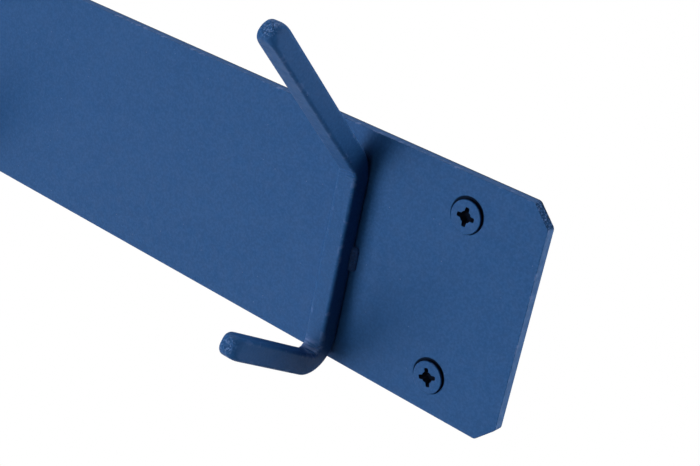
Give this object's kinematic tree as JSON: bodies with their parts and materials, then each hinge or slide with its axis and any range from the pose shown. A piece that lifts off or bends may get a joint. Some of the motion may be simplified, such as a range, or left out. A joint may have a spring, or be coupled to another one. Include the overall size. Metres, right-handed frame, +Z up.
{
  "type": "wall hook rail",
  "caption": "Flat wall rail with cut-off corners and welded double hooks of square bar, each with a long upper prong leaning out and a short lower prong, held by cross-recess screws.",
  "frame": {"origin": "centre of the plate's back face, on the wall surface", "axes": "+X along the rail, +Y into the wall, +Z up"},
  "size_m": [0.9144, 0.1113, 0.1554],
  "materials": {
    "plate_paint": "satin blue powder coat with a fine orange-peel texture",
    "hook_paint": "satin blue powder coat over ground bar",
    "weld_paint": "blue powder coat over a weld bead",
    "screw_paint": "blue painted head on a zinc-plated steel screw"
  },
  "bodies": {
    "root": {"wall_plate": "plate_paint", "hook_1": "hook_paint", "hook_1_weld_right": "weld_paint", "hook_1_weld_left": "weld_paint", "hook_2": "hook_paint", "hook_2_weld_right": "weld_paint", "hook_2_weld_left": "weld_paint", "hook_3": "hook_paint", "hook_3_weld_right": "weld_paint", "hook_3_weld_left": "weld_paint", "hook_4": "hook_paint", "hook_4_weld_right": "weld_paint", "hook_4_weld_left": "weld_paint", "screw_left_upper": "screw_paint", "screw_left_lower": "screw_paint", "screw_right_upper": "screw_paint", "screw_right_lower": "screw_paint"}
  },
  "joints": []
}
